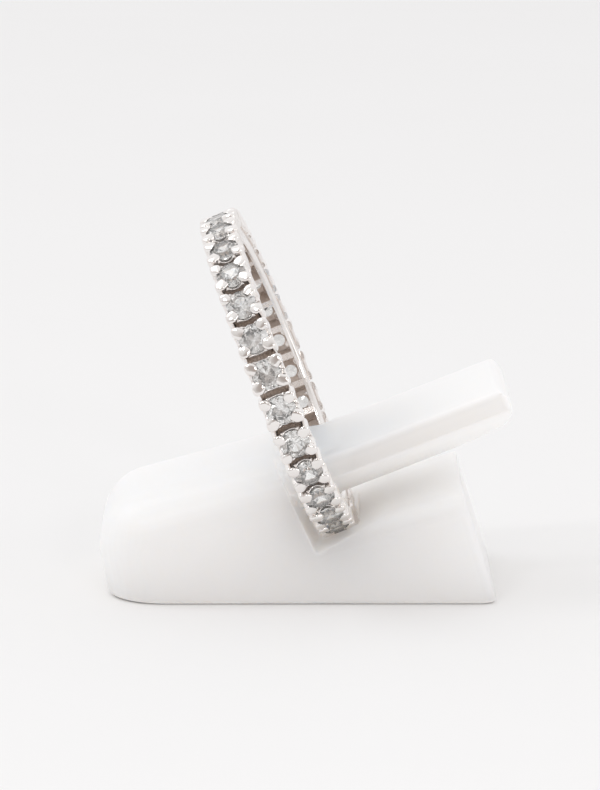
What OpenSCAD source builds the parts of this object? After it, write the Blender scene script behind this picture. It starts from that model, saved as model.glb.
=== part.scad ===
// Full eternity ring held on a small moulded clip stand.
// The stand rests on Z = 0, its nose towards -X and its tongue rising towards +X.
// The ring's axis lies in the XZ plane and rises towards +X, so the ring leans back over the nose.

/* [Ring] */
// Inside diameter of the finger hole
finger_d = 17; // [16.4:0.1:17.6]
// Width of the collets along the finger
band_w = 2.34; // [2.28:0.02:2.6]
// Width of the plain hoop under the collets
hoop_w = 1.9; // [1.8:0.02:2.2]
// Thickness of the hoop, from the finger to the floor of the cross channels
rail_t = 0.9; // [0.7:0.05:1.1]
// Height of the collets above the foot of the cross channels
collet_h = 0.98; // [0.9:0.02:1.1]
// Width of the cross channels between neighbouring collets
channel_w = 0.34; // [0.24:0.02:0.4]
// Diameter of each corner claw
claw_d = 0.66; // [0.56:0.02:0.7]
// Height of the claw tips above the collets
claw_h = 0.34; // [0.28:0.02:0.44]
// How far the claws stand out of the collets' faces
claw_proud = 0.02; // [0.01:0.01:0.05]
// Width of the U-shaped cut between two claws on each side
scallop_d = 0.76; // [0.5:0.02:0.8]
// Depth of the U-shaped cut, from the collet's rim to the middle of its round bottom
scallop_h = 0.26; // [0.1:0.02:0.32]
// Diameter of the round dip between two claws towards each channel
dip_d = 1; // [0.9:0.05:1.2]
// Depth of that dip below the collet's rim
dip_h = 0.24; // [0.1:0.02:0.3]
// Length of each window, measured around the finger
window_l = 1.3; // [0.9:0.05:1.4]
// Width of each window along the finger
window_w = 1.15; // [0.8:0.05:1.3]
// Depth of each window, from the finger to the stone's cup
window_h = 1.15; // [1:0.05:1.3]
// Bevel along the two inner edges of the band
rail_bevel = 0.14; // [0.05:0.01:0.25]
// How far the ring is turned round the tongue, in degrees
ring_turn = 1.4; // [-6:0.1:6]

/* [Stones] */
// Diameter of each round stone
stone_d = 1.84; // [1.7:0.01:1.88]
// Least distance between the centres of two neighbouring stones
stone_step = 2.28; // [2.26:0.01:2.4]
// Width across the table
table_d = 1.04; // [0.8:0.02:1.2]
// Height of the crown, from the girdle to the table
crown_h = 0.27; // [0.2:0.01:0.34]
// Thickness of the girdle
girdle_t = 0.05; // [0.02:0.01:0.08]
// Depth of the pavilion, from the girdle to the culet
pavilion_h = 0.74; // [0.6:0.01:0.78]
// How far the girdle lies below the collet's rim
girdle_drop = 0.04; // [0.02:0.01:0.1]
// Clearance between a stone and its cup
stone_fit = 0.03; // [0.02:0.01:0.05]

/* [Stand] */
// Length from the nose to the tip of the tongue
stand_l = 25.6; // [25:0.1:26.2]
// Width of the stand
stand_w = 13.2; // [12.6:0.1:14]
// How far the rear block's sides lie behind the nose's sides
side_step = 0.05; // [0.03:0.01:0.1]
// Length of the foot, from the nose to the lower rear edge
foot_l = 24.75; // [24.2:0.05:25.2]
// Radius of the nose and of its shoulders
nose_r = 3.3; // [2.6:0.1:3.6]
// Height of the nose's front above the floor, at the middle of its round
nose_z = 3.3; // [3.1:0.1:3.8]
// Slope of the nose's top, in degrees
nose_slope = 15.5; // [13:0.5:18]
// Lean of the nose's front, in degrees
nose_lean = 10; // [4:0.5:14]
// Height of the rear block's upper edge
rear_h = 7.12; // [6.8:0.02:7.6]
// Slope of the rear block's top, in degrees
rear_slope = 17; // [14:0.5:19]
// Lean of the rear face, in degrees
rear_lean = 17.2; // [12:0.2:20]
// Radius of the rear block's long upper edges
rear_r = 1.3; // [0.6:0.1:1.6]
// Radius of the rear block's upright edges
rear_corner_r = 0.6; // [0.3:0.1:1.6]

/* [Seat and tongue] */
// Lean of the ring, its seat and the tongue, in degrees
lean = 21.6; // [20:0.1:23]
// Place of the lowest point of the seat's middle along the stand
seat_x = 2.45; // [2.2:0.01:2.8]
// Height of that point
seat_z = 3.27; // [3.1:0.01:3.6]
// Clearance between the ring and the seat's round floor
seat_gap = 0.1; // [0.05:0.01:0.2]
// Clearance between the ring and the wall in front of it, at the wall's foot
front_gap = 0.4; // [0.2:0.05:0.6]
// Clearance between the ring and the rear wall of its seat
rear_gap = 0.25; // [0.15:0.05:0.5]
// Lean of the wall in front of the ring, in degrees
wall_lean = 25.2; // [23:0.2:28]
// Height at which the ramp under the tongue meets that wall
ramp_z = 3.2; // [3:0.05:3.5]
// Place along the stand where the ramp meets the rear block's top
ramp_x = 5.2; // [4.5:0.1:6.5]
// Width of the tongue
tongue_w = 10.8; // [10:0.1:11]
// Clearance between the tongue's round belly and the inside of the ring
tongue_fit = 0.15; // [0.08:0.01:0.25]
// Distance from the ring's axis down to the tongue's flat top
tongue_drop = 4.98; // [4.6:0.02:5.4]
// Radius of the tongue's long upper edges
tongue_edge_r = 0.6; // [0.3:0.05:0.9]
// Step down from the nose's top to the saddle behind it
saddle_step = 0.05; // [0.04:0.01:0.2]
// Radius of the saddle's two long edges
saddle_r = 1.6; // [1:0.1:2]
// Place along the stand where the saddle meets the tongue's top
saddle_x = 2.3; // [2:0.1:3]
// Radius of the lower corner of the tongue's tip
tip_low_r = 1.6; // [1.3:0.1:1.7]
// Radius of the upper corner of the tongue's tip
tip_top_r = 1; // [0.6:0.05:1.1]
// How far the belly rises towards the tip
tip_rise = 0.65; // [0.3:0.05:0.7]
// Length over which it rises, measured back from the tip
tip_rise_l = 6; // [5:0.1:7]
// Radius of the two corners of the tongue's tip, seen from above
tip_corner_r = 0.6; // [0.3:0.1:1.6]

/* [Hidden] */
$fn = 48;
finger_r = finger_d / 2;
channel_r = finger_r + rail_t;
collet_r = channel_r + collet_h;
claw_tip_r = collet_r + claw_h;
stone_r = stone_d / 2;
girdle_r = collet_r - girdle_drop;
stone_count = floor(2 * PI * girdle_r / stone_step);
stone_angle = 360 / stone_count;
claw_r = claw_d / 2;
// Facets above and below the girdle
facets = 8;
// Corners of the eight-sided stone before its girdle is turned round, and corners of the table
corner_r = stone_r / cos(180 / facets);
table_r = table_d / 2 / cos(180 / facets);
// How far the girdle's upper and lower edges wave where two facets meet
crown_wave = crown_h * (corner_r - stone_r) / (corner_r - table_r);
girdle_wave = pavilion_h * (corner_r - stone_r) / corner_r;
// Half of a collet's length round the finger, at its rim
collet_half = collet_r * sin(stone_angle / 2) - channel_w / 2;
claw_y = collet_half + claw_proud - claw_r;
claw_x = band_w / 2 + claw_proud - claw_r;
// The claws start inside the collets, so far above the floor of the channels
claw_root = 0.15;
claw_foot_r = channel_r + claw_root;
over = 1;

nose_x = -stand_l / 2;
tip_x = stand_l / 2;
foot_x = nose_x + foot_l;
half_w = stand_w / 2;
round_x = nose_x + nose_r;
round_y = half_w - nose_r;
rear_x = foot_x - rear_h * tan(rear_lean);
ring_x = seat_x - (claw_tip_r + seat_gap) * sin(lean);
ring_z = seat_z + (claw_tip_r + seat_gap) * cos(lean);
seat_front = band_w / 2 + claw_proud + front_gap;
seat_rear = band_w / 2 + claw_proud + rear_gap;
floor_drop = claw_tip_r + seat_gap;
belly_r = finger_r - tongue_fit;
// Tip of the tongue, measured from the ring along its axis
tip_low_drop = belly_r - tip_rise - tip_low_r;
tip_reach = tip_low_r + (tip_x - ring_x - tip_low_r - tip_low_drop * sin(lean)) / cos(lean);
// Where the tongue starts inside the nose, measured the same way
tongue_root = -4;
// Thickness of the slices that carry the nose down to the floor
toe_h = 0.5;

function cross_of(a, b) = a.x * b.y - a.y * b.x;
// Where the line through a along u meets the line through b along v
function meet(a, u, b, v) = a + u * cross_of(b - a, v) / cross_of(u, v);

function two(n) = n < 10 ? str("0", n) : str(n);
function stone_name(n) = str("stone_", two(n));

// Puts a shape drawn about the Z axis onto the ring's own axis
module on_ring() {
    translate([ring_x, 0, ring_z]) rotate([0, 90 - lean, 0]) children();
}

// Puts a shape at the girdle of stone n, its Z axis pointing away from the finger
module at_stone(n) {
    rotate([0, 0, ring_turn + (n - 1) * stone_angle]) translate([girdle_r, 0, 0])
        rotate([0, 90, 0]) children();
}

// Plain band before it is cut: a narrow hoop that widens to the collets above the channels' floor
module band_blank() {
    hoop = hoop_w / 2;
    half = band_w / 2;
    wide_r = channel_r + half - hoop;
    rotate_extrude($fn = 96)
        polygon([
            [finger_r, -hoop + rail_bevel], [finger_r + rail_bevel, -hoop], [channel_r, -hoop],
            [wide_r, -half], [collet_r, -half], [collet_r, half], [wide_r, half],
            [channel_r, hoop], [finger_r + rail_bevel, hoop], [finger_r, hoop - rail_bevel]
        ]);
}

// Cross channel half way between two stones
module channel() {
    rotate([0, 0, stone_angle / 2])
        translate([channel_r, -channel_w / 2, -band_w / 2 - over])
            cube([collet_h + over, channel_w, band_w + 2 * over]);
}

// Window from the finger up to the stone
module window_cut() {
    translate([-window_w / 2, -window_l / 2, finger_r - girdle_r - over])
        cube([window_w, window_l, window_h + over]);
}

// U-shaped cut that leaves the claws standing at the collet's corners
module scallop() {
    translate([-band_w / 2 - over, 0, collet_r - girdle_r - scallop_h]) rotate([90, 0, 90])
        linear_extrude(band_w + 2 * over) {
            circle(d = scallop_d);
            translate([-scallop_d / 2, 0]) square([scallop_d, scallop_h + over]);
        }
}

// Round dip in the rim towards the channel at each end of the collet
module channel_dip() {
    translate([0, 0, collet_r - girdle_r - dip_h + dip_d / 2]) rotate([90, 0, 0])
        cylinder(d = dip_d, h = stone_step, center = true);
}

// Round bullet-nosed claw
module claw() {
    h = claw_tip_r - claw_foot_r;
    translate([0, 0, claw_foot_r - girdle_r]) rotate_extrude($fn = 24)
        intersection() {
            square([claw_r, h]);
            union() {
                square([claw_r, h - claw_r]);
                translate([0, h - claw_r]) circle(claw_r);
            }
        }
}

// Space taken by a stone and its clearance
module cup() {
    r = stone_r + stone_fit;
    top = girdle_t + crown_h + 2 * stone_fit;
    rotate_extrude()
        polygon([
            [0, -pavilion_h - 2 * stone_fit], [r, -girdle_wave - stone_fit],
            [r, girdle_t + crown_wave + stone_fit], [table_r + stone_fit, top], [0, top]
        ]);
}

// The ring's metal
module setting() {
    color("gainsboro") on_ring() difference() {
        union() {
            difference() {
                band_blank();
                for (n = [1:stone_count]) {
                    at_stone(n) {
                        window_cut();
                        scallop();
                        channel_dip();
                    }
                    rotate([0, 0, ring_turn + (n - 1) * stone_angle]) channel();
                }
            }
            for (n = [1:stone_count], sx = [-1, 1], sy = [-1, 1])
                at_stone(n) translate([sx * claw_x, sy * claw_y, 0]) claw();
        }
        for (n = [1:stone_count]) at_stone(n) cup();
    }
}

// Single cut stone: a table and 8 facets above a round girdle, 8 facets below
module stone(n) {
    rings = [[corner_r, 0], [corner_r, girdle_t], [table_r, girdle_t + crown_h]];
    step = 360 / facets;
    points = concat(
        [for (ring = rings, k = [0:facets - 1]) [ring.x * cos(step * k), ring.x * sin(step * k), ring.y]],
        [[0, 0, -pavilion_h]]
    );
    culet = 3 * facets;
    faces = concat(
        [[for (k = [facets - 1:-1:0]) 2 * facets + k]],
        [for (ring = [0, facets], k = [0:facets - 1])
            [ring + k, ring + facets + k, ring + facets + (k + 1) % facets, ring + (k + 1) % facets]],
        [for (k = [0:facets - 1]) [culet, k, (k + 1) % facets]]
    );
    color("white") on_ring() at_stone(n) intersection() {
        polyhedron(points, faces);
        translate([0, 0, -pavilion_h - over]) cylinder(r = stone_r, h = pavilion_h + crown_h + 2 * over);
    }
}

// Turns a side outline drawn in X and Z into a slab that is w wide
module slab(w) {
    rotate([90, 0, 0]) linear_extrude(w, center = true) children();
}

// Extrudes a section drawn in Y and Z along X, both ways
module along_x(length) {
    rotate([90, 0, 90]) linear_extrude(length, center = true) children();
}

// Rectangle that hangs below the origin, with its two upper corners rounded
module top_rounded(w, h, r) {
    translate([-w / 2, -h]) square([w, h - r]);
    translate([-w / 2 + r, -h]) square([w - 2 * r, h]);
    for (side = [-1, 1]) translate([side * (w / 2 - r), -r]) circle(r);
}

// Rounded nose, before the wall in front of the ring cuts it
module nose_block() {
    reach = stand_l / 2;
    toe_x = round_x + nose_z * tan(nose_lean);
    hull() for (side = [-1, 1]) {
        translate([round_x, side * round_y, nose_z]) sphere(nose_r, $fn = 40);
        translate([toe_x, side * round_y, 0]) cylinder(r = nose_r, h = toe_h, $fn = 40);
        translate([round_x + reach * cos(nose_slope), side * round_y, nose_z + reach * sin(nose_slope)])
            sphere(nose_r, $fn = 40);
        translate([round_x + reach * cos(nose_slope), side * (half_w - toe_h) - toe_h, 0])
            cube([toe_h, 2 * toe_h, toe_h]);
    }
}

// Everything behind that wall
module behind_wall() {
    on_ring() translate([floor_drop, 0, -seat_front]) rotate([0, lean - wall_lean, 0])
        translate([-stand_l, -stand_w, 0]) cube([stand_l * 1.5, 2 * stand_w, stand_l]);
}

// Wedge behind the wall, with the ramp under the tongue and the ring's round seat in it
module rear_block() {
    wall_foot = [seat_x, seat_z] - seat_front * [cos(lean), sin(lean)];
    ramp_low = meet(wall_foot, [-sin(wall_lean), cos(wall_lean)], [0, ramp_z], [1, 0]);
    ramp_high = meet([rear_x, rear_h], [cos(rear_slope), sin(rear_slope)], [ramp_x, 0], [0, 1]);
    hidden_x = round_x + nose_r;
    width = stand_w - 2 * side_step;
    difference() {
        intersection() {
            slab(width)
                polygon([
                    [hidden_x, 0], [foot_x, 0], [rear_x, rear_h], ramp_high, ramp_low, [hidden_x, ramp_z]
                ]);
            // round long edges, parallel to the sloping top
            translate([rear_x, 0, rear_h]) rotate([0, -rear_slope, 0]) along_x(2 * stand_l)
                top_rounded(width, stand_l, rear_r);
            // round rear edges, parallel to the leaning rear face
            translate([foot_x, 0, 0]) rotate([0, -rear_lean, 0])
                linear_extrude(2 * stand_l, center = true) rotate(-90)
                    top_rounded(width, stand_l, rear_corner_r);
        }
        on_ring() translate([0, 0, -seat_front - over])
            cylinder(r = floor_drop, h = seat_front + seat_rear + over, $fn = 96);
    }
}

// Side outline of the tongue, drawn down from the ring's axis and along it
module tongue_outline() {
    depth = belly_r - tongue_drop;
    bar = tip_reach - tongue_root;
    low = [depth - tip_rise - tip_low_r, bar - tip_low_r];
    top_r = min(tip_top_r, low.x);
    bend = [depth, bar - tip_rise_l];
    // line from the bend that touches the lower corner's circle
    reach = norm(low - bend);
    turn = atan2(low.y - bend.y, low.x - bend.x) - asin(tip_low_r / reach);
    touch = bend + sqrt(reach * reach - tip_low_r * tip_low_r) * [cos(turn), sin(turn)];
    translate([tongue_drop, tongue_root]) {
        polygon([
            [0, 0], [depth, 0], bend, touch, low, [low.x, bar], [top_r, bar],
            [top_r, bar - top_r], [0, bar - top_r]
        ]);
        translate([top_r, bar - top_r]) circle(top_r);
        translate(low) circle(tip_low_r);
    }
}

// Flat topped tongue along the ring's axis, with a round belly that fits the ring
module tongue() {
    on_ring() intersection() {
        translate([0, 0, tongue_root]) linear_extrude(stand_l) intersection() {
            circle(belly_r, $fn = 96);
            translate([tongue_drop, 0]) rotate(90) top_rounded(tongue_w, belly_r, tongue_edge_r);
        }
        slab(tongue_w + over) tongue_outline();
        translate([0, 0, tip_reach]) along_x(2 * stand_l) top_rounded(tongue_w, stand_l, tip_corner_r);
    }
}

// Saddle between the nose's top and the tongue's top
module saddle() {
    up = [-sin(lean), cos(lean)];
    top = [cos(nose_slope), sin(nose_slope)];
    nose_top = [round_x, nose_z] + nose_r * [-top.y, top.x];
    wall_foot = [seat_x, seat_z] - seat_front * [cos(lean), sin(lean)];
    start = meet(nose_top, top, wall_foot, [-sin(wall_lean), cos(wall_lean)]) - [0, saddle_step];
    tongue_top = [ring_x, ring_z] - tongue_drop * up;
    end = meet(tongue_top, [cos(lean), sin(lean)], [saddle_x, 0], [0, 1]);
    slope = atan2(end.y - start.y, end.x - start.x);
    intersection() {
        slab(tongue_w)
            polygon([
                start, end, end - tongue_edge_r * up, start - nose_r * up, start - nose_r / 2 * top
            ]);
        translate([start.x, 0, start.y]) rotate([0, -slope, 0]) along_x(stand_l)
            top_rounded(tongue_w - 2 * tongue_edge_r, 2 * nose_r, saddle_r);
    }
}

// Moulded clip stand
module stand() {
    color("whitesmoke") union() {
        difference() {
            nose_block();
            behind_wall();
        }
        rear_block();
        tongue();
        saddle();
    }
}

setting();
stand();
for (n = [1:stone_count]) stone(n);
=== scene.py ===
import bpy
import bmesh
import numpy as np
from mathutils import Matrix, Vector


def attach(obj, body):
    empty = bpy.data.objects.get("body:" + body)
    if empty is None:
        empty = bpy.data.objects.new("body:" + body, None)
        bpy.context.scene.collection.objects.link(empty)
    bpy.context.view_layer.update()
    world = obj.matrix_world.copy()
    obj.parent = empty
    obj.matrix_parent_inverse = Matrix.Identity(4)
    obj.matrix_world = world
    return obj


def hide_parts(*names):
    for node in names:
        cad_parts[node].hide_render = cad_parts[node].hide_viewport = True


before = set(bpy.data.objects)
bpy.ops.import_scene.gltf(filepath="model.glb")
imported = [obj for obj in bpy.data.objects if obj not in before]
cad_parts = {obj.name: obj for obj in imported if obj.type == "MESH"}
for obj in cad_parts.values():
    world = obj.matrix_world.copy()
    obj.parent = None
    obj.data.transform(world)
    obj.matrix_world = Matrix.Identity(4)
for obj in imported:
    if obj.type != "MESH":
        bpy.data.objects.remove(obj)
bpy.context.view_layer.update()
MM = 0.001

# Camera.
# It stands almost square to the side of the stand and looks a little down on it, from about
# 25 cm away with a long lens, so the leaning ring shows its stones and the inside of its far rail.
camera_aim = Vector((-0.27, 0.0, 11.90)) * MM
camera_azimuth, camera_elevation = np.radians(-0.19), np.radians(11.66)
camera_distance = 249.0 * MM
camera_data = bpy.data.cameras.new("camera")
camera_data.sensor_fit = "VERTICAL"
camera_data.sensor_height = 24.0
camera_data.lens = 120.5
camera_data.clip_start, camera_data.clip_end = 0.01, 10.0
camera = bpy.data.objects.new("camera", camera_data)
bpy.context.scene.collection.objects.link(camera)
camera_way = Vector((
    np.sin(camera_azimuth) * np.cos(camera_elevation),
    -np.cos(camera_azimuth) * np.cos(camera_elevation),
    np.sin(camera_elevation),
))
camera.location = camera_aim + camera_way * camera_distance
camera.rotation_euler = (-camera_way).to_track_quat("-Z", "Y").to_euler()
bpy.context.scene.camera = camera

# Floor.
# A wide sheet of matt white paper, large enough to fill the view, with a faint warm mottle.
# The stand rests on it and throws a soft shadow over it.
floor_reach = 1.6


def material_with(name, colour, roughness, metallic=0.0):
    """A new material with a plain Principled shader; returns the material, its node tree and the shader."""
    material = bpy.data.materials.new(name)
    material.use_nodes = True
    shader = material.node_tree.nodes["Principled BSDF"]
    shader.inputs["Base Color"].default_value = (*colour, 1.0)
    shader.inputs["Roughness"].default_value = roughness
    shader.inputs["Metallic"].default_value = metallic
    return material, material.node_tree, shader


def add_node(tree, kind, links=(), **values):
    """Adds a node. Values go to its properties or, by socket name, to its inputs, and links is a list
    of (input, socket that feeds it)."""
    node = tree.nodes.new(kind)
    for key, value in values.items():
        if hasattr(node, key):
            setattr(node, key, value)
        else:
            node.inputs[key.replace("_", " ")].default_value = value
    for socket, source in links:
        tree.links.new(source, node.inputs[socket])
    return node


def object_noise(tree, grain, detail=3.0, roughness=0.55):
    """Noise on object coordinates whose patches measure about grain metres."""
    place = add_node(tree, "ShaderNodeTexCoord")
    return add_node(tree, "ShaderNodeTexNoise", [("Vector", place.outputs["Object"])],
                    Scale=1.0 / grain, Detail=detail, Roughness=roughness).outputs["Fac"]


def between(tree, mask, low, high, from_low=0.0, from_high=1.0):
    """Value that runs from low to high as the mask runs from from_low to from_high."""
    node = add_node(tree, "ShaderNodeMapRange", [("Value", mask)])
    for socket, value in zip(("From Min", "From Max", "To Min", "To Max"), (from_low, from_high, low, high)):
        node.inputs[socket].default_value = value
    return node.outputs["Result"]


def mixed(tree, mask, dark, light):
    """Colour that runs from dark to light with the mask; each may be a colour or a socket."""
    node = add_node(tree, "ShaderNodeMix", data_type="RGBA")
    tree.links.new(mask, node.inputs["Factor"])
    for socket, colour in ((node.inputs[6], dark), (node.inputs[7], light)):
        if isinstance(colour, bpy.types.NodeSocket):
            tree.links.new(colour, socket)
        else:
            socket.default_value = (*colour, 1.0)
    return node.outputs[2]


def arithmetic(tree, operation, *terms):
    """Result of one step of arithmetic; each term may be a number or a socket."""
    node = add_node(tree, "ShaderNodeMath", operation=operation)
    for socket, term in zip(node.inputs, terms):
        if isinstance(term, bpy.types.NodeSocket):
            tree.links.new(term, socket)
        else:
            socket.default_value = term
    return node.outputs[0]


def relief(tree, shader, height, depth):
    """Bump of that depth in metres from a height between 0 and 1, fed to the shader's normal."""
    node = add_node(tree, "ShaderNodeBump", [("Height", height)], Strength=1.0, Distance=depth)
    tree.links.new(node.outputs["Normal"], shader.inputs["Normal"])


paper, paper_tree, paper_shader = material_with("paper", (0.86, 0.86, 0.86), 0.85)
paper_mottle = object_noise(paper_tree, 0.05)
paper_tree.links.new(mixed(paper_tree, paper_mottle, (0.855, 0.853, 0.852), (0.87, 0.87, 0.872)),
                     paper_shader.inputs["Base Color"])
floor_mesh = bpy.data.meshes.new("floor")
floor_mesh.from_pydata([(-floor_reach, -floor_reach, 0), (floor_reach, -floor_reach, 0),
                        (floor_reach, floor_reach, 0), (-floor_reach, floor_reach, 0)], [], [(0, 1, 2, 3)])
floor = bpy.data.objects.new("floor", floor_mesh)
floor.data.materials.append(paper)
bpy.context.scene.collection.objects.link(floor)

# Light.
# An even bright room, brightest above and behind, a little darker on the side towards the camera,
# with one dim patch there for polished metal and facets to mirror. A soft box above, two small
# lamps in front for the glints and a weak box on the right, which lifts the shade under the tongue.


def soft_box(name, place, aim, width, height, power):
    """Rectangular area light at place, in metres, turned towards aim."""
    data = bpy.data.lights.new(name, "AREA")
    data.shape = "RECTANGLE"
    data.size, data.size_y = width, height
    data.energy = power
    light = bpy.data.objects.new(name, data)
    light.location = place
    light.rotation_euler = (Vector(aim) - Vector(place)).to_track_quat("-Z", "Y").to_euler()
    bpy.context.scene.collection.objects.link(light)


soft_box("key", (-0.60, 0.10, 0.85), (0, 0, 0.01), 0.50, 0.50, 1.2)
soft_box("lamp", (-0.16, -0.22, 0.30), (0, 0, 0.01), 0.035, 0.035, 0.10)
soft_box("glint", (0.10, -0.30, 0.14), (0, 0, 0.012), 0.05, 0.05, 0.07)
soft_box("fill", (0.55, -0.25, 0.16), (0.005, 0, 0.006), 0.40, 0.25, 0.35)
room = bpy.data.worlds.new("room")
room.use_nodes = True
room_tree = room.node_tree
room_shader = room_tree.nodes["Background"]
room_way = add_node(room_tree, "ShaderNodeTexCoord").outputs["Generated"]


def facing(direction, low, high):
    """Mask of the room that rises from 0 to 1 as the way looked comes nearer to the direction."""
    dot = add_node(room_tree, "ShaderNodeVectorMath", [(0, room_way)], operation="DOT_PRODUCT")
    dot.inputs[1].default_value = Vector(direction).normalized()
    return between(room_tree, dot.outputs["Value"], 0, 1, low, high)


room_shade, room_sky, room_patch = (0.73, 0.70, 0.68), (1.16, 1.155, 1.16), (0.54, 0.485, 0.455)
sky_mask = facing((-0.10, 0.60, 0.79), -0.60, 0.75)
patch_mask = facing((0.05, -0.95, 0.30), 0.91, 0.97)
room_even = mixed(room_tree, sky_mask, room_shade, room_sky)
room_tree.links.new(mixed(room_tree, patch_mask, room_even, room_patch), room_shader.inputs["Color"])
room_shader.inputs["Strength"].default_value = 0.84
bpy.context.scene.world = room
bpy.context.scene.view_settings.view_transform = "Standard"

# Gallery of the ring.
# The plain inner hoop of white gold: two rails joined by a bar under every gap between stones,
# with a window below each stone. It is turned on a lathe, whose fine lines stay on the rails and
# on the floors of the cross channels, where the metal also stays duller and browner.
ring_lean = np.radians(21.6)
ring_centre = np.array([-1.533, 0.0, 13.330])
ring_down = np.array([np.sin(ring_lean), 0.0, -np.cos(ring_lean)])
ring_side = np.array([0.0, 1.0, 0.0])
ring_axis = np.array([np.cos(ring_lean), 0.0, np.sin(ring_lean)])
stone_total = 28
stone_pitch = 2 * np.pi / stone_total
stone_turn = np.radians(1.4) + stone_pitch * np.arange(stone_total)
# Sizes of the ring in millimetres, out from its axis, round it and along it
finger_r, channel_r, rim_r, claw_top = 8.5, 9.4, 10.38, 10.715
half_band, half_hoop = 1.12, 0.95
window_half_l, window_half_w = 0.73, 0.575
channel_w = 0.34
line_pitch, line_depth = 0.235, 0.05
rail_lap = 0.04


def round_ring(angle, radius, along):
    """Points at an angle and a radius round the ring's axis and so far along it, in metres."""
    angle, radius, along = np.broadcast_arrays(angle, radius, along)
    way = np.cos(angle)[..., None] * ring_down + np.sin(angle)[..., None] * ring_side
    return (ring_centre + radius[..., None] * way + along[..., None] * ring_axis) * MM


def at_stones(side, along, height):
    """Points in metres at every stone, from one grid for all stones or one for each: height away from
    the ring's axis, side round it and along it, turned to each stone's own direction out and round."""
    grids = (np.reshape(part, (-1, *np.shape(part)[-2:])) for part in (side, along, height))
    side, along, height = np.broadcast_arrays(*grids)
    out = np.cos(stone_turn)[:, None] * ring_down + np.sin(stone_turn)[:, None] * ring_side
    round_ = -np.sin(stone_turn)[:, None] * ring_down + np.cos(stone_turn)[:, None] * ring_side
    out, round_ = out[:, None, None, :], round_[:, None, None, :]
    return (ring_centre + height[..., None] * out + side[..., None] * round_
            + along[..., None] * ring_axis) * MM


def quads_over(rows, columns, wrap_rows, wrap_columns):
    """Corner numbers of the quads of one grid; a wrapped direction joins its last line to its first."""
    i, j = np.meshgrid(np.arange(rows if wrap_rows else rows - 1),
                       np.arange(columns if wrap_columns else columns - 1), indexing="ij")
    i, j = i.ravel(), j.ravel()
    i2, j2 = (i + 1) % rows, (j + 1) % columns
    return np.stack([i * columns + j, i2 * columns + j, i2 * columns + j2, i * columns + j2], 1)


def volume_of(points, quads):
    """Signed volume of a closed shell of quads: a sixth of the sum of corner triple products."""
    a, b, c, d = (points[quads[:, n]] for n in range(4))
    return (np.einsum("ij,ij->i", a, np.cross(b, c)) + np.einsum("ij,ij->i", a, np.cross(c, d))).sum() / 6


merge_reach, crease = 1e-7, np.radians(50)


def metal_piece(name, sheets, material):
    """One mesh from closed grids given as (points[copy, row, column, xyz], wrap_rows, wrap_columns, mask),
    with faces outwards, poles merged and the masks kept as the attribute recess."""
    points, quads, masks, start = [], [], [], 0
    for grid, wrap_rows, wrap_columns, mask in sheets:
        copies, rows, columns = grid.shape[:3]
        one = quads_over(rows, columns, wrap_rows, wrap_columns)
        if volume_of(grid[0].reshape(-1, 3), one) < 0:
            one = one[:, ::-1]
        quads.append((one[None] + start + np.arange(copies)[:, None, None] * rows * columns).reshape(-1, 4))
        points.append(grid.reshape(-1, 3))
        masks.append(np.broadcast_to(mask, (copies, rows, columns)).reshape(-1))
        start += copies * rows * columns
    mesh = bpy.data.meshes.new(name)
    mesh.from_pydata(np.concatenate(points).tolist(), [], np.concatenate(quads).tolist())
    recess = mesh.attributes.new("recess", "FLOAT", "POINT")
    recess.data.foreach_set("value", np.concatenate(masks).astype(np.float32))
    work = bmesh.new()
    work.from_mesh(mesh)
    bmesh.ops.remove_doubles(work, verts=work.verts, dist=merge_reach)
    work.to_mesh(mesh)
    work.free()
    mesh.polygons.foreach_set("use_smooth", np.ones(len(mesh.polygons), bool))
    mesh.set_sharp_from_angle(angle=crease)
    mesh.materials.append(material)
    piece = bpy.data.objects.new(name, mesh)
    bpy.context.scene.collection.objects.link(piece)
    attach(piece, "root")
    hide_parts("setting")


def turned(along):
    """Height of the lathe lines: a full wave every line_pitch along the ring's axis, line_depth deep."""
    return -line_depth * (0.5 - 0.5 * np.cos(2 * np.pi * along / line_pitch))


# The rail's section as (along, out): its top carries the lathe lines, its lower edge is bevelled
rail_top = np.linspace(window_half_w, half_hoop - rail_lap, 25)
rail_edge = np.array([
    (half_hoop - 0.012, channel_r - 0.02), (half_hoop, channel_r - 0.06), (half_hoop, 9.0),
    (half_hoop, finger_r + 0.17), (half_hoop - 0.02, finger_r + 0.12), (half_hoop - 0.07, finger_r + 0.06),
    (half_hoop - 0.12, finger_r + 0.02), (half_hoop - 0.17, finger_r),
    (window_half_w + 0.05, finger_r), (window_half_w + 0.015, finger_r + 0.015),
    (window_half_w, finger_r + 0.05), (window_half_w, channel_r - 0.06),
])
rail_along = np.concatenate([rail_top, rail_edge[:, 0]])
rail_out = np.concatenate([channel_r + turned(rail_top), rail_edge[:, 1]])
rail_dull = np.concatenate([np.ones(len(rail_top)), np.zeros(len(rail_edge) - 1), [0.3]])
rail_turn = np.linspace(0, 2 * np.pi, stone_total * 10, endpoint=False)
rails = []
for rail_way in (-1, 1):
    rail_grid = round_ring(rail_turn[:, None], rail_out[None], rail_way * rail_along[None])
    rails.append((rail_grid[None], True, True, rail_dull[None, None]))

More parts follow.
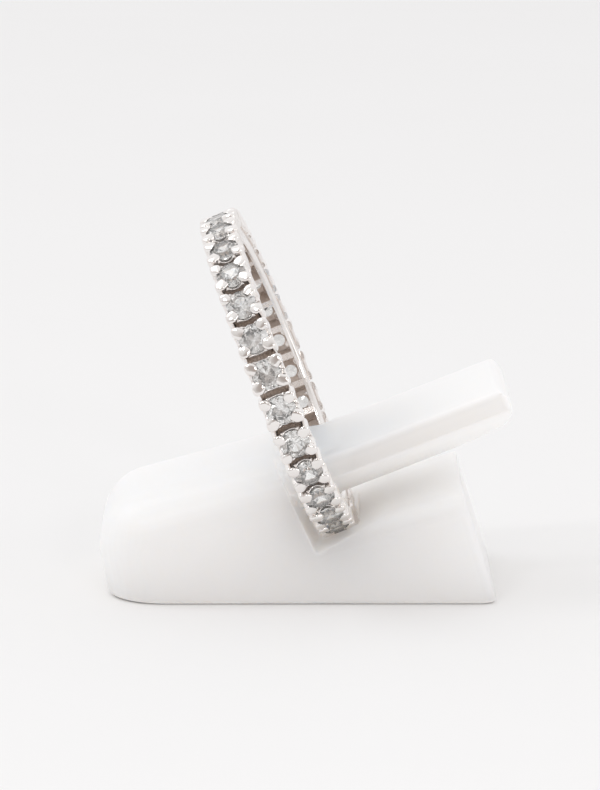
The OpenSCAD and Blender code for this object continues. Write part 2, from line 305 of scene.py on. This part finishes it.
# The bar's section as (share of its half width round the ring, out), carried from rail to rail
bar_section = np.array([
    (-1, channel_r - 0.03), (-0.96, channel_r), (-0.5, channel_r), (0, channel_r), (0.5, channel_r),
    (0.96, channel_r), (1, channel_r - 0.03), (1, 9.1), (1, 8.8), (1, finger_r + 0.04),
    (0.93, finger_r), (0.5, finger_r), (0, finger_r), (-0.5, finger_r), (-0.93, finger_r),
    (-1, finger_r + 0.04), (-1, 8.8), (-1, 9.1),
])
bar_step, bar_out = bar_section.T
bar_is_top = bar_out > channel_r - 0.1
bar_half = stone_pitch / 2 - np.arcsin(window_half_l / bar_out)
bar_along = np.linspace(-window_half_w - rail_lap, window_half_w + rail_lap, 61)
bar_radius = bar_out[None] + np.where(bar_is_top, 1, 0)[None] * turned(bar_along)[:, None]
bar_grid = np.stack([np.broadcast_to(bar_step * bar_half, bar_radius.shape), bar_radius,
                     np.broadcast_to(bar_along[:, None], bar_radius.shape)])
# Both ends are closed by a fan to the middle of the section
bar_heart = bar_grid.mean(axis=2, keepdims=True) * np.ones((1, 1, len(bar_out)))
bar_grid = np.concatenate([bar_heart[:, :1], bar_grid, bar_heart[:, -1:]], axis=1)
bar_turn = (stone_turn + stone_pitch / 2)[:, None, None]
bars = round_ring(bar_grid[0][None] + bar_turn, bar_grid[1][None], bar_grid[2][None])
bar_dull = np.where(bar_is_top | (np.abs(bar_step) == 1), 1.0, 0.35)


def gold_finish_group():
    """Node group for worn white gold. Color: a slight tint that drifts, and a brown film where Recess
    is high. Roughness: Gloss with hairline wear, duller under the film. Metallic: less under the film.
    Height: the wear plus fine lathe lines along the ring's axis, as strong as Lines."""
    group = bpy.data.node_groups.new("gold_finish", "ShaderNodeTree")
    for socket in ("Recess", "Gloss", "Lines"):
        group.interface.new_socket(socket, in_out="INPUT", socket_type="NodeSocketFloat")
    group.interface.new_socket("Color", in_out="OUTPUT", socket_type="NodeSocketColor")
    for socket in ("Roughness", "Metallic", "Height"):
        group.interface.new_socket(socket, in_out="OUTPUT", socket_type="NodeSocketFloat")
    given = group.nodes.new("NodeGroupInput").outputs
    drift = object_noise(group, 0.9 * MM)
    wear = object_noise(group, 0.12 * MM, 4.0, 0.7)
    stain = arithmetic(group, "MULTIPLY", given["Recess"], between(group, drift, 0.7, 1.0, 0.3, 0.6))
    clean = mixed(group, drift, (0.86, 0.82, 0.795), (0.92, 0.90, 0.885))
    film = mixed(group, wear, (0.42, 0.33, 0.27), (0.78, 0.66, 0.58))
    polish = arithmetic(group, "MULTIPLY", between(group, wear, 0.6, 1.7, 0.3, 0.7), given["Gloss"])
    film_rough, hairline_pitch = 0.35, 0.11 * MM
    rough = arithmetic(group, "MULTIPLY_ADD", stain, film_rough, polish)
    place = add_node(group, "ShaderNodeTexCoord").outputs["Object"]
    along = add_node(group, "ShaderNodeVectorMath", [(0, place)], operation="DOT_PRODUCT")
    along.inputs[1].default_value = ring_axis * 2 * np.pi / hairline_pitch
    lines = arithmetic(group, "SINE", along.outputs["Value"])
    height = arithmetic(group, "MULTIPLY_ADD", lines, given["Lines"], wear)
    out = group.nodes.new("NodeGroupOutput").inputs
    group.links.new(mixed(group, stain, clean, film), out["Color"])
    group.links.new(rough, out["Roughness"])
    group.links.new(between(group, stain, 1.0, 0.25), out["Metallic"])
    group.links.new(height, out["Height"])
    return group


gold_finish = gold_finish_group()


def white_gold(name, gloss, lines):
    """White gold with that gloss and that much of the lathe's lines, browner where the mesh has recess."""
    material, tree, shader = material_with(name, (0.86, 0.83, 0.81), gloss, 1.0)
    recess = add_node(tree, "ShaderNodeAttribute", attribute_name="recess").outputs["Fac"]
    finish = add_node(tree, "ShaderNodeGroup")
    finish.node_tree = gold_finish
    tree.links.new(recess, finish.inputs["Recess"])
    finish.inputs["Gloss"].default_value = gloss
    finish.inputs["Lines"].default_value = lines
    tree.links.new(finish.outputs["Color"], shader.inputs["Base Color"])
    tree.links.new(finish.outputs["Roughness"], shader.inputs["Roughness"])
    tree.links.new(finish.outputs["Metallic"], shader.inputs["Metallic"])
    relief(tree, shader, finish.outputs["Height"], 0.004 * MM)
    return material


gallery_gold = white_gold("white_gold_turned", 0.16, 0.6)
metal_piece("ring_gallery", rails + [(bars, False, True, bar_dull[None, None])], gallery_gold)

# Collets of the ring.
# A square cup of white gold round every stone, standing on the gallery with a narrow channel to
# each neighbour. It is drilled through below the stone, cut down in a U on the ring's two sides
# and dipped towards the channels, so the rim stays only at the corners, under the claws.
collet_corner, window_corner = 7.0, 7
culet_height, pavilion_slope, cup_fit = 9.60, 0.92 / 0.74, 0.03
drill_r, cup_wall_r = 0.40, 0.95
rim_round = 0.06
cut_r, cut_middle = 0.38, 10.12
dip_r, dip_bottom = 0.50, 10.14
# Columns of the grid, closer together where the U-shaped cut ends and where the dip ends
column_side = np.array([0, 0.10, 0.19, 0.26, 0.31, 0.345, 0.368, 0.379, 0.392, 0.45, 0.56, 0.68, 0.79, 0.88,
                        0.94])
column_along = np.array([1.12, 1.05, 0.95, 0.82, 0.68, 0.55, 0.45, 0.41, 0.33, 0.24, 0.15, 0.07])
quarter_turn = np.concatenate([np.arctan2(half_band, column_side), np.arctan2(column_along, 0.985)])
collet_turn = np.concatenate([quarter_turn, [0.0], -quarter_turn[::-1],
                              -np.pi + quarter_turn[1:], [-np.pi], np.pi - quarter_turn[:0:-1]])


def square_reach(turn, half_side, half_along, corner):
    """Distance from the middle to a rounded rectangle: the superellipse of that power."""
    side_part, along_part = np.abs(np.cos(turn) / half_side), np.abs(np.sin(turn) / half_along)
    return (side_part ** corner + along_part ** corner) ** (-1 / corner)


def collet_outside(height):
    """Distance from the stone's axis to the collet's outside at that height, which overhangs the hoop
    at 45 degrees."""
    half_side = height * np.tan(stone_pitch / 2) - channel_w / 2 / np.cos(stone_pitch / 2)
    half_along = half_hoop + np.clip(height - channel_r, 0, half_band - half_hoop)
    return square_reach(collet_turn, half_side, half_along, collet_corner)


def cup_reach(height):
    """Distance from the stone's axis to the cup's inside: the stone's cone and a clearance, between the
    drill's radius and the wall's."""
    return np.clip(pavilion_slope * (height - culet_height) + cup_fit, drill_r, cup_wall_r)


rim_reach = collet_outside(rim_r)
rim_side, rim_along = rim_reach * np.cos(collet_turn), rim_reach * np.sin(collet_turn)
on_side = np.abs(rim_along) > np.abs(rim_side)
side_cut = cut_middle - np.sqrt(np.clip(cut_r ** 2 - rim_side ** 2, 0, None))
channel_dip = dip_bottom + dip_r - np.sqrt(np.clip(dip_r ** 2 - rim_along ** 2, 0, None))
rim_height = np.where(on_side & (np.abs(rim_side) < cut_r), side_cut, rim_r)
rim_height = np.where(~on_side, np.minimum(channel_dip, rim_height), rim_height)
# Rows of the grid, each as (reach, height): up the outside, over the rounded rim, down the cup, out
# over the bore's lower edge and down inside the window
collet_rows = [(collet_outside(level), np.full(len(collet_turn), level))
               for level in (9.30, channel_r, 9.49, 9.66)]
for share in (0.0, 0.35, 0.7, 1.0):
    lean_angle = share * np.pi / 2
    collet_rows.append((collet_outside(rim_height) - rim_round * (1 - np.cos(lean_angle)),
                        rim_height - rim_round * (1 - np.sin(lean_angle))))
collet_rows.append((cup_reach(rim_height) + 0.02, rim_height - 0.004))
for level in (10.33, 10.15, 9.98, 9.63):
    height = np.minimum(level, rim_height - 0.02)
    collet_rows.append((cup_reach(height), height))
collet_rows.append((np.full(len(collet_turn), drill_r + 0.02), np.full(len(collet_turn), 9.61)))
for level, inset in ((9.60, 0.04), (9.57, 0.015), (9.34, 0.015)):
    window_reach = square_reach(collet_turn, window_half_l - inset, window_half_w - inset, window_corner)
    collet_rows.append((window_reach, np.full(len(collet_turn), level)))
collet_reach = np.array([row[0] for row in collet_rows])
collet_height = np.array([row[1] for row in collet_rows])
collets = at_stones(collet_reach * np.cos(collet_turn), collet_reach * np.sin(collet_turn), collet_height)
# The film lies on the channel's floor and in the window, a little of it low on the outside
collet_dull = np.zeros(collet_reach.shape)
collet_dull[0:2] = 0.9
collet_dull[2:4] = np.where(on_side, 0.15, 0.35)
collet_dull[-4:] = 0.85
collet_gold = white_gold("white_gold_collet", 0.13, 0.0)
metal_piece("ring_collets", [(collets, True, True, collet_dull[None])], collet_gold)

# Claws of the ring.
# Four short posts of white gold at the corners of each collet, soldered down its side. Their ends
# are low, squarish domes, pressed over the stone's edge and polished bright. They were pressed by
# hand, so each differs a little in width, height and reach.
claw_side, claw_along, claw_r, claw_shoulder, claw_over = 0.695, 0.832, 0.345, 10.52, 0.95
claw_corner = 3
claw_turn = np.linspace(0, 2 * np.pi, 24, endpoint=False)
claw_rise = np.radians([0, 16, 32, 48, 62, 76, 90])
claw_reach = np.concatenate([[0.0, claw_r, claw_r, claw_r], claw_r * np.cos(claw_rise) ** 0.55])
claw_dome = np.concatenate([np.zeros(4), np.sin(claw_rise)])
claw_foot = np.concatenate([[9.46, 9.46, 10.0, 10.3], np.full(len(claw_rise), claw_shoulder)])
claw_dice = np.random.default_rng(7)
claw_least, claw_most = (0.90, 0.3, -0.045), (1.03, 1.0, 0.0)
girdle_low, crown_edge, crown_foot, crown_slope = 10.32, 0.95, 10.467, 0.71


def claw_clear(height):
    """How near to the stone's axis a claw may come: outside the cup up to the girdle, then along the
    crown."""
    above = crown_edge - np.clip(height - crown_foot, 0, None) / crown_slope
    return np.where(height < girdle_low, cup_reach(height), above)


claws = []
for round_way in (-1, 1):
    for along_way in (-1, 1):
        inward = -np.array([round_way * claw_side, along_way * claw_along]) / np.hypot(claw_side, claw_along)
        towards = np.clip(np.cos(claw_turn) * inward[0] + np.sin(claw_turn) * inward[1], 0, None)
        draws = claw_dice.uniform(claw_least, claw_most, (stone_total, 3))
        width, reach, top = draws.T[..., None, None]
        stretch = square_reach(claw_turn, 1, 1, claw_corner) * (width + claw_over * reach * towards ** 2)
        height = claw_foot[:, None] + claw_dome[:, None] * (claw_top + top - claw_shoulder)
        side = round_way * claw_side + claw_reach[:, None] * stretch * np.cos(claw_turn)
        along = along_way * claw_along + claw_reach[:, None] * stretch * np.sin(claw_turn)
        push = np.maximum(claw_clear(height) / np.hypot(side, along), 1)
        claws.append((at_stones(side * push, along * push, np.broadcast_to(height, side.shape)),
                      False, True, np.zeros((1, 1, 1))))
claw_gold = white_gold("white_gold_claw", 0.09, 0.0)
metal_piece("ring_claws", claws, claw_gold)

# Stones.
# Single cut diamonds, a table and eight facets above a round girdle and eight facets below. They
# hold a trace of warm grey and a little cloud, and mirror the room in light and dark fields. Their
# solids are cut as they are, so only the material is added.
diamond, diamond_tree, diamond_shader = material_with("diamond", (0.99, 0.993, 0.988), 0.0)
diamond_shader.inputs["Transmission Weight"].default_value = 0.90
diamond_shader.inputs["IOR"].default_value = 2.0
diamond_cloud = object_noise(diamond_tree, 0.35 * MM, 2.0)
diamond_tree.links.new(mixed(diamond_tree, diamond_cloud, (0.995, 0.990, 0.970), (1.0, 1.0, 0.995)),
                       diamond_shader.inputs["Base Color"])
diamond_tree.links.new(between(diamond_tree, diamond_cloud, 0.0, 0.02, 0.45, 0.75),
                       diamond_shader.inputs["Roughness"])
for name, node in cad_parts.items():
    if name.startswith("stone_"):
        node.data.materials.clear()
        node.data.materials.append(diamond)

# Stand.
# A small wedge of moulded white polystyrene with a seat for the ring and a springy tongue, in one
# shot from a mould. Its surface is smooth and a little waxy, light sinks into it and comes back
# warm, and its edges are slightly rounded.
plastic, plastic_tree, plastic_shader = material_with("white_plastic", (0.96, 0.953, 0.946), 0.34)
plastic_drift = object_noise(plastic_tree, 4 * MM, 3.0)
plastic_grain = object_noise(plastic_tree, 0.25 * MM, 4.0, 0.6)
plastic_own_colour = mixed(plastic_tree, plastic_drift, (0.986, 0.962, 0.932), (0.994, 0.976, 0.954))
# Painted shade: faces turned to either side get a greyer colour than the top, deepest on the tongue
plastic_way = add_node(plastic_tree, "ShaderNodeTexCoord").outputs["Normal"]
plastic_across = add_node(plastic_tree, "ShaderNodeSeparateXYZ", [("Vector", plastic_way)]).outputs["Y"]
plastic_across = arithmetic(plastic_tree, "ABSOLUTE", plastic_across)
painted_side_mask = between(plastic_tree, plastic_across, 0.0, 1.0, 0.55, 0.97)
plastic_place = add_node(plastic_tree, "ShaderNodeTexCoord").outputs["Object"]
plastic_place = add_node(plastic_tree, "ShaderNodeSeparateXYZ", [("Vector", plastic_place)])
# The tongue's sides, behind the ring and above the rear block, get a deeper painted shade
tongue_above = between(plastic_tree, plastic_place.outputs["Z"], 0.0, 1.0, 7.4 * MM, 8.4 * MM)
tongue_behind = between(plastic_tree, plastic_place.outputs["X"], 0.0, 1.0, 1.0 * MM, 3.0 * MM)
tongue_painted_shade = arithmetic(plastic_tree, "MULTIPLY", tongue_above, tongue_behind)
painted_side_grey = mixed(plastic_tree, tongue_painted_shade, (0.862, 0.838, 0.822), (0.700, 0.668, 0.645))
plastic_tree.links.new(mixed(plastic_tree, painted_side_mask, plastic_own_colour, painted_side_grey),
                       plastic_shader.inputs["Base Color"])
plastic_tree.links.new(between(plastic_tree, plastic_grain, 0.28, 0.44, 0.3, 0.7),
                       plastic_shader.inputs["Roughness"])
plastic_shader.inputs["Subsurface Weight"].default_value = 0.85
plastic_shader.inputs["Subsurface Radius"].default_value = (1.0, 0.86, 0.74)
plastic_shader.inputs["Subsurface Scale"].default_value = 30.0 * MM
relief(plastic_tree, plastic_shader, plastic_grain, 0.006 * MM)
stand_half_w, side_step, same_place = 6.6 * MM, 0.05 * MM, 1e-6
# The foot is a little smaller than the body, so a fine line of shadow runs along the floor
foot_rise, foot_share = 0.18 * MM, (0.974, 0.948)
stand_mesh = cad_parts["stand"].data.copy()
stand_work = bmesh.new()
stand_work.from_mesh(stand_mesh)
bmesh.ops.remove_doubles(stand_work, verts=stand_work.verts, dist=same_place)
# The rear block's sides lie a hair behind the nose's in the solid, and are brought out flush
for corner in stand_work.verts:
    if abs(abs(corner.co.y) - stand_half_w + side_step) < same_place:
        corner.co.y = np.copysign(stand_half_w, corner.co.y)
everything = stand_work.verts[:] + stand_work.edges[:] + stand_work.faces[:]
bmesh.ops.bisect_plane(stand_work, geom=everything, plane_co=(0, 0, foot_rise), plane_no=(0, 0, 1))
for corner in stand_work.verts:
    if corner.co.z < foot_rise / 2:
        corner.co.x *= foot_share[0]
        corner.co.y *= foot_share[1]
stand_work.to_mesh(stand_mesh)
stand_work.free()
stand_mesh.materials.clear()
stand_mesh.materials.append(plastic)
stand = bpy.data.objects.new("stand_body", stand_mesh)
bpy.context.scene.collection.objects.link(stand)
stand_skin = stand.modifiers.new("skin", "REMESH")
stand_skin.mode = "VOXEL"
stand_skin.voxel_size = 0.12 * MM
stand_skin.use_smooth_shade = True
stand_soften = stand.modifiers.new("soften", "SMOOTH")
stand_soften.factor = 0.5
stand_soften.iterations = 4
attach(stand, "root")
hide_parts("stand")
